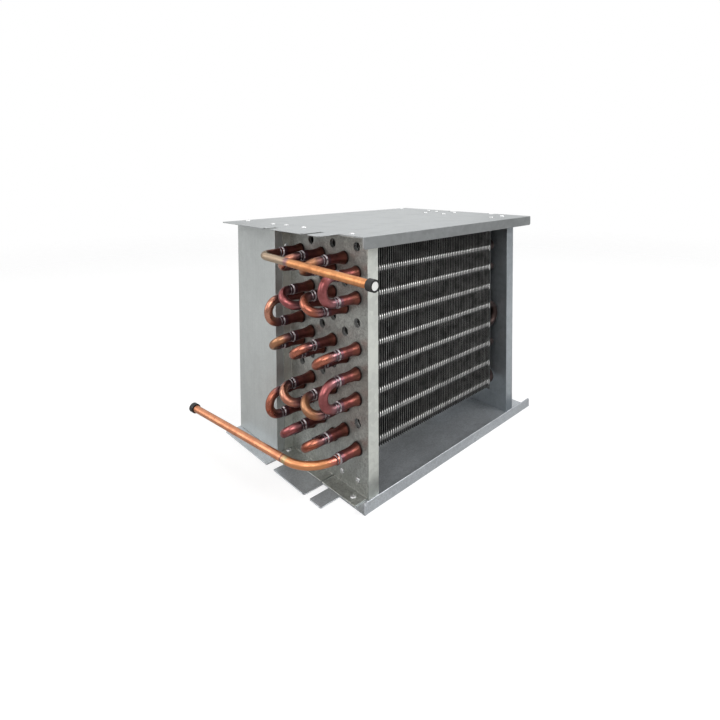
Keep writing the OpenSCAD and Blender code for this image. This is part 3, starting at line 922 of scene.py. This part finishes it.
@dataclass
class CopperWork:
    """Hairpin tubes, return bends, braze fillets and the two connection tubes.

    A hairpin is plain tube from past_sheet on, as far inwards from its mouth. The bend_tones
    follow the numbers of the return bends. The swell makes the braze metal uneven.
    """

    palette: Palette
    tube_radius: float = 4.76 * MM
    socket_radius: float = 5.55 * MM
    bell_radius: float = 7.1 * MM
    socket_length: float = 25 * MM
    past_sheet: float = 26 * MM
    flattening: float = 0.035
    arc_steps: int = 20
    ring_segments: int = 28
    swell_seed: int = 11
    swell_scale: float = 350
    swell_height: float = 0.22 * MM
    bend_tones: tuple[Tone, ...] = (
        Tone.PEACH, Tone.TAN, Tone.ROSE, Tone.ORANGE, Tone.ROSE, Tone.PEACH, Tone.TAN, Tone.ORANGE,
        Tone.ORANGE, Tone.ROSE, Tone.TAN, Tone.PEACH, Tone.ORANGE, Tone.ROSE, Tone.ORANGE,
    )
    mouths: list[Vector] = field(default_factory=list)

    def hairpin(self, name: str, node: Piece) -> Piece:
        """Makes a hairpin tube whose free ends widen into sockets.

        Args:
            name: The node's name.
            node: The CAD node.

        Returns:
            The piece that replaces the node.
        """
        low, high = leg_ends(node, Side.LEFT)
        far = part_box(name)[1].x
        self.mouths += [low, high]
        turn_x = far - self.tube_radius - (high - low).length / 2
        out, radii = self.socket(low.x)
        start = low.x + self.past_sheet
        run = [start + (turn_x - start) * t for t in (0.0, 0.25, 0.5, 0.75)]
        radii += [self.tube_radius] * len(run)
        radii += [self.tube_radius] * (self.arc_steps + 1) + radii[::-1]
        shape = sweep(self.hook(low, high, out + run, turn_x, Side.RIGHT), radii)
        piece = finish(name + "_tube", shape, self.palette.stub, 60.0)
        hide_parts(name)
        return piece

    def turns(self) -> list[float]:
        """Returns the angles along a half circle."""
        return [math.pi * i / self.arc_steps for i in range(self.arc_steps + 1)]

    def hook(self, low: Vector, high: Vector, xs: list[float], turn_x: float, side: Side) -> list[Vector]:
        """Returns the centre line of a tube with two legs and a half circle.

        Args:
            low: The lower leg's place.
            high: The upper leg's place.
            xs: Places along each leg, from its free end.
            turn_x: Where the half circle starts.
            side: The side that the half circle lies on.

        Returns:
            The centre line, from the lower leg's end to the upper one's.
        """
        half = (high - low) / 2
        middle = (low + high) / 2
        middle.x = turn_x
        reach = Vector((half.length, 0, 0)) * side.value
        arc = [middle - half * math.cos(a) + reach * math.sin(a) for a in self.turns()]
        leg, back = ([Vector((x, end.y, end.z)) for x in xs] for end in (low, high))
        return leg + arc + back[::-1]

    def socket(self, mouth: float) -> tuple[list[float], list[float]]:
        """Returns places along X and radii of a socket, from its mouth to the tube sheet."""
        r, bell = self.socket_radius, self.bell_radius
        shares = [
            (0.0, r - 0.25 * MM), (0.012, r), (0.06, r), (0.3, r - 0.05 * MM), (0.36, r - 0.35 * MM),
            (0.56, r - 0.3 * MM), (0.68, r + 0.05 * MM), (0.8, r + 0.45 * MM), (0.892, bell - 0.45 * MM),
            (0.952, bell), (0.98, bell), (0.996, bell - 0.4 * MM), (1.0, bell - 1.0 * MM), (1.008, self.tube_radius),
        ]
        return [mouth + share * self.socket_length for share, _ in shares], [q for _, q in shares]

    def return_bend(self, name: str, node: Piece, material: Material) -> Piece:
        """Makes a return bend, slightly swollen at its joints and slightly flattened at its crown.

        Args:
            name: The node's name.
            node: The CAD node.
            material: Its copper.

        Returns:
            The piece that replaces the node.
        """
        low, high = leg_ends(node, Side.RIGHT)
        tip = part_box(name)[0].x
        turn_x = tip + self.tube_radius + (high - low).length / 2
        mouth = self.mouths[0].x
        r = self.tube_radius
        spans = [(low.x, r), (mouth + 0.2 * MM, r), (mouth - 1.0 * MM, r + 0.1 * MM),
                 (mouth - 2.2 * MM, r + 0.05 * MM), (mouth - 4.6 * MM, r)]
        ends = [q for _, q in spans]
        crown = [r * (1 - self.flattening * math.sin(a)) for a in self.turns()]
        path = self.hook(low, high, [x for x, _ in spans], turn_x, Side.LEFT)
        shape = sweep(path, ends + crown + ends[::-1], 32)
        piece = finish(name + "_tube", shape, material, 60.0)
        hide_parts(name)
        return piece

    def fillets(self) -> None:
        """Makes the uneven ring of braze metal and the stop bead at every socket mouth."""
        draw = Random(self.swell_seed)
        parts = []
        for mouth in self.mouths:
            for profile in (self.fillet_profile(), self.bead_profile()):
                verts, faces = lathe(profile, self.ring_segments, Matrix.Translation(mouth))
                seed = Vector((draw.uniform(0, 50), draw.uniform(0, 50), draw.uniform(0, 50)))
                for v in verts:
                    off = v - mouth
                    radial = Vector((0, off.y, off.z))
                    if radial.length > self.tube_radius + 0.1 * MM:
                        swell = noise.noise(seed + off * self.swell_scale) * self.swell_height
                        v += radial.normalized() * swell + Vector((swell, 0, 0))
                parts.append((verts, faces))
        piece = finish("braze_fillets", join(parts), self.palette.braze, 60.0)
        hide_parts("braze_rings")
        LOG.info("%s: %d rings and beads", piece.name, len(parts))

    def fillet_profile(self) -> Profile:
        """Returns the profile of the braze metal round a socket's mouth."""
        r, s = self.tube_radius, self.socket_radius
        return [(-1.3 * MM, r), (-1.0 * MM, r + 0.3 * MM), (-0.7 * MM, s), (-0.35 * MM, s + 0.32 * MM),
                (0.05 * MM, s + 0.36 * MM), (0.4 * MM, s + 0.1 * MM), (0.55 * MM, s - 0.1 * MM)]

    def bead_profile(self) -> Profile:
        """Returns the profile of the stop bead round a bend's leg."""
        r = self.tube_radius
        return [(-4.2 * MM, r - 0.1 * MM), (-4.0 * MM, r + 0.25 * MM), (-3.75 * MM, r + 0.38 * MM),
                (-3.5 * MM, r + 0.25 * MM), (-3.3 * MM, r - 0.1 * MM)]

    @staticmethod
    def numbered(nodes: Nodes, stem: str) -> list[str]:
        """Returns the names that start with a stem, in the order of their numbers."""
        return sorted((n for n in nodes if n.startswith(stem)), key=lambda n: int(n.rsplit("_", 1)[1]))

    def build(self, nodes: Nodes) -> None:
        """Makes all the copper."""
        hairpins = self.numbered(nodes, "hairpin_")
        for name in hairpins:
            self.hairpin(name, nodes[name])
        bends = self.numbered(nodes, "return_bend_")
        for name, tone in zip(bends, self.bend_tones):
            self.return_bend(name, nodes[name], self.palette.bends[tone])
        self.fillets()
        LOG.info("%d hairpins, %d return bends", len(hairpins), len(bends))
        for name, line in (("upper_tube", self.palette.upper_line), ("lower_tube", self.palette.lower_line)):
            coat(nodes[name].data, line)


@dataclass
class FinPack:
    """The fins, and the collars that line up along each row of tubes.

    Columns between the first and the last show only through the tube sheet's empty holes, so
    their collars stop after inner_fins.
    """

    palette: Palette
    tube_pitch: float = 25.4 * MM
    row_pitch: float = 19.05 * MM
    columns: int = 6
    rows: int = 9
    fin_pitch: float = 3.2 * MM
    collar_radius: float = 5.4 * MM
    root_radius: float = 5.9 * MM
    front_gap: float = 6 * MM
    sheet_thickness: float = 1.2 * MM
    inner_fins: int = 10
    collar_segments: int = 20
    rim_segments: int = 28

    def places(self, column: int, y0: float, z0: float) -> list[tuple[float, float]]:
        """Returns the places of a column's tubes. Every other column is half a pitch lower.

        Args:
            column: The column, counted from the front.
            y0: The front column's place.
            z0: The highest tube's place.

        Returns:
            Each tube's Y and Z, from the highest to the lowest.
        """
        drop = column % 2
        y = y0 + column * self.row_pitch
        return [(y, z0 - (row + drop / 2) * self.tube_pitch) for row in range(self.rows - drop)]

    def collar_row(self, y: float, z: float, xs: list[float]) -> Shape:
        """Makes the collars of one tube place, each flared where it leaves its fin.

        Args:
            y: The row's place.
            z: The row's place.
            xs: Where each fin is.

        Returns:
            Points and faces.
        """
        profile: Profile = []
        p = self.fin_pitch
        for x in xs:
            profile += [(x, self.root_radius), (x + 0.2 * p, self.collar_radius + 0.06 * MM),
                        (x + 0.6 * p, self.collar_radius - 0.08 * MM), (x + 0.94 * p, self.collar_radius + 0.1 * MM)]
        return lathe(profile, self.collar_segments, Matrix.Translation((0, y, z)))

    def build(self, nodes: Nodes) -> None:
        """Dresses the fins and adds their collars."""
        coat(nodes["fins"].data, self.palette.fins)
        low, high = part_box("fins")
        y0 = low.y + self.front_gap
        # The fins end a quarter of a pitch above the highest tube.
        z0 = high.z - self.tube_pitch / 4
        count = round((high.x - low.x) / self.fin_pitch)
        xs = [low.x + i * self.fin_pitch for i in range(count)]
        for column in range(self.columns):
            shown = xs if column in (0, self.columns - 1) else xs[:self.inner_fins]
            parts = [self.collar_row(y, z, shown) for y, z in self.places(column, y0, z0)]
            material = self.palette.inner if column else self.palette.collars
            piece = finish(f"fin_collars_{column + 1}", join(parts), material, 60.0)
            LOG.info("%s: %d rows", piece.name, len(parts))
        self.rims(y0, z0)

    def rims(self, y0: float, z0: float) -> None:
        """Makes the rims in the tube sheet's holes and at the far end of the front column, in a paler zinc that paints
        highlights on them.

        Args:
            y0: The front column's place.
            z0: The highest tube's place.
        """
        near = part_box("fins")[0].x - self.fin_pitch / 2 - self.sheet_thickness
        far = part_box("right_tube_sheet")[0].x
        hole = [(0.0, 4.93), (0.9, 4.8), (2.4, 4.72), (3.4, 4.66), (3.4, 4.5)]
        washer = [(-1.9, 4.9), (-1.9, 6.2), (-1.3, 6.6), (-0.5, 6.6), (-0.1, 6.2)]
        for name, x, ring_mm, columns in (("hole_rims", near, hole, self.columns), ("end_rims", far, washer, 1)):
            ring = [(along * MM, radius * MM) for along, radius in ring_mm]
            rings = [
                lathe(ring, self.rim_segments, Matrix.Translation((x, y, z)))
                for column in range(columns) for y, z in self.places(column, y0, z0)
            ]
            finish(name, join(rings), self.palette.rim_painted_highlight, 60.0)


@dataclass
class TubeCaps:
    """The black caps on the connection tubes, each with a pale plug."""

    palette: Palette

    def build(self, nodes: Nodes) -> None:
        """Dresses the caps and their plugs."""
        for end in ("upper", "lower"):
            for part, material in (("cap", self.palette.cap), ("plug", self.palette.plug)):
                coat(nodes[f"{end}_{part}"].data, material)


# Studio


@dataclass(frozen=True)
class Lamp:
    """A square soft lamp: where it hangs, the height it points at, its side and its power in watts."""

    name: str
    at: Place
    aim_height: float
    side: float
    power: float

    def make(self) -> None:
        """Makes the lamp. It points at the object's middle line."""
        data = bpy.data.lights.new(self.name, "AREA")
        data.size = self.side
        data.energy = self.power
        lamp = bpy.data.objects.new(self.name, data)
        show(lamp)
        aim = Vector((0, 0, self.aim_height)) - Vector(self.at)
        lamp.matrix_world = Matrix.Translation(self.at) @ aim.to_track_quat("-Z", "Y").to_matrix().to_4x4()


@dataclass
class Studio:
    """The floor, the lights and the camera at the photograph's viewing angle.

    The floor shows paler to the camera than it is under the light, and fades out over floor_fade.
    The world is white to the camera, and white in reflections of it above mirror_top.
    """

    focal_px: float = 484.0
    frame_px: float = 720.0
    centre_px: tuple[float, float] = (385.0, 192.0)
    eye: Place = (-0.4382, -0.4471, 0.3227)
    yaw: float = 44.52
    pitch: float = 2.19
    roll: float = -0.19
    floor_reach: float = 2.6
    floor_fade: tuple[float, float] = (0.7, 2.4)
    floor_lit: float = 0.62
    floor_seen: float = 0.42
    floor_glow: float = 0.68
    world_light: float = 0.26
    mirror_low: float = 0.34
    mirror_top: float = 0.65
    lamps: tuple[Lamp, ...] = (
        Lamp("key_left", (-1.5, -0.9, 1.3), 0.12, 1.2, 15.0),
        Lamp("top_soft", (0.1, 0.3, 2.0), 0.1, 1.6, 12.0),
        Lamp("back_sheen", (1.3, 1.4, 0.9), 0.2, 1.2, 1.5),
        Lamp("left_soft", (-1.6, 1.1, 0.9), 0.13, 1.4, 13.0),
        Lamp("front_soft", (0.8, -1.5, 1.3), 0.12, 1.0, 24.0),
    )

    def camera(self) -> None:
        """Makes the camera."""
        data = bpy.data.cameras.new("camera")
        data.sensor_width = 36.0
        data.lens = self.focal_px / self.frame_px * data.sensor_width
        data.shift_x = (self.frame_px / 2 - self.centre_px[0]) / self.frame_px
        data.shift_y = (self.centre_px[1] - self.frame_px / 2) / self.frame_px
        data.clip_start = 0.01
        camera = bpy.data.objects.new("camera", data)
        show(camera)
        turn = Matrix.Rotation(math.radians(-self.yaw), 4, "Z")
        turn = turn @ Matrix.Rotation(math.radians(90 - self.pitch), 4, "X")
        turn = turn @ Matrix.Rotation(math.radians(self.roll), 4, "Z")
        camera.matrix_world = Matrix.Translation(self.eye) @ turn
        bpy.context.scene.camera = camera

    def floor(self) -> None:
        """Makes a pale floor that fades into the background."""
        mesh = bpy.data.meshes.new("floor")
        r = self.floor_reach
        mesh.from_pydata([(-r, -r, 0), (r, -r, 0), (r, r, 0), (-r, r, 0)], [], [(0, 1, 2, 3)])
        material = bpy.data.materials.new("pale_floor")
        b = NodeBuilder(cleared(material))
        lit, soft = (
            b.add("ShaderNodeBsdfDiffuse", {"Color": (grey, grey, grey, 1.0)})
            for grey in (self.floor_lit, self.floor_seen))
        glow = b.add("ShaderNodeEmission", {"Color": (1.0, 1.0, 1.0, 1.0), "Strength": self.floor_glow})
        seen = b.add("ShaderNodeAddShader", {0: soft.outputs[0], 1: glow.outputs[0]})
        path = b.add("ShaderNodeLightPath").outputs
        diffuse = b.add("ShaderNodeMixShader", {0: path["Is Camera Ray"], 1: lit.outputs[0], 2: seen.outputs[0]})
        clear = b.add("ShaderNodeBsdfTransparent")
        far = b.add("ShaderNodeVectorMath", {0: b.place()}, operation="LENGTH").outputs["Value"]
        fade = b.ramp(far, *self.floor_fade)
        blend = b.add("ShaderNodeMixShader", {0: fade, 1: diffuse.outputs[0], 2: clear.outputs[0]})
        b.add("ShaderNodeOutputMaterial", {"Surface": blend.outputs[0]})
        mesh.materials.append(material)
        floor = bpy.data.objects.new("floor", mesh)
        show(floor)

    def world(self) -> None:
        """Makes a soft world that shows white to the camera and in reflections."""
        world = bpy.data.worlds.new("soft_world")
        bpy.context.scene.world = world
        b = NodeBuilder(cleared(world))
        path = b.add("ShaderNodeLightPath").outputs
        aim = b.add("ShaderNodeTexCoord").outputs["Generated"]
        height = b.add("ShaderNodeSeparateXYZ", {"Vector": aim}).outputs["Z"]
        mirrored = b.math("MULTIPLY", path["Is Glossy Ray"], b.ramp(height, 0.0, self.mirror_top, self.mirror_low, 1.0))
        strength = b.math("MAXIMUM", b.math("MAXIMUM", path["Is Camera Ray"], mirrored), self.world_light)
        shade = b.add("ShaderNodeBackground", {"Color": (1.0, 1.0, 1.0, 1.0), "Strength": strength})
        b.add("ShaderNodeOutputWorld", {"Surface": shade.outputs[0]})

    def build(self) -> None:
        """Makes the whole studio."""
        self.camera()
        self.floor()
        self.world()
        for lamp in self.lamps:
            lamp.make()
        bpy.context.scene.view_settings.view_transform = "Standard"


def main() -> None:
    """Builds the coil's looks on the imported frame."""
    logging.basicConfig(level=logging.INFO, format="%(message)s")
    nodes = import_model()["nodes"]
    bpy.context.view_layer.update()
    Studio().build()
    palette = Palette(Effects())
    Housing(palette).build(nodes)
    FinPack(palette).build(nodes)
    CopperWork(palette).build(nodes)
    TubeCaps(palette).build(nodes)
    Rivets(palette).build(nodes)


if __name__ == "__main__":
    main()
